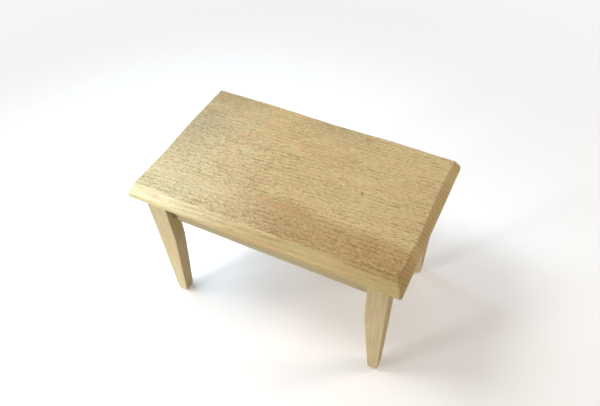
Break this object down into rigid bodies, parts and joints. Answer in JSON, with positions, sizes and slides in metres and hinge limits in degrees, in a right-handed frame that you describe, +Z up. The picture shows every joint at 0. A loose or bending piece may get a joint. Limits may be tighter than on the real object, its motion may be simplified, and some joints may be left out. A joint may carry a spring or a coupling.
{
  "type": "miniature dining table",
  "caption": "Rectangular dolls-house dining table: a thick chamfered top on tapered square legs joined by plain aprons, bare wood.",
  "frame": {"origin": "on the floor under the middle of the table", "axes": "+X along the table's length, +Y across it to the back, +Z up"},
  "size_m": [0.1, 0.061, 0.064],
  "materials": {
    "top": "sanded bare, long grain along X",
    "leg": "sanded bare, grain upright",
    "apron": "sanded bare, grain along the apron"
  },
  "bodies": {
    "root": {"table_top": "top", "leg_front_left": "leg", "leg_front_right": "leg", "leg_back_left": "leg", "leg_back_right": "leg", "apron_front": "apron", "apron_back": "apron", "apron_left": "apron", "apron_right": "apron"}
  },
  "joints": []
}
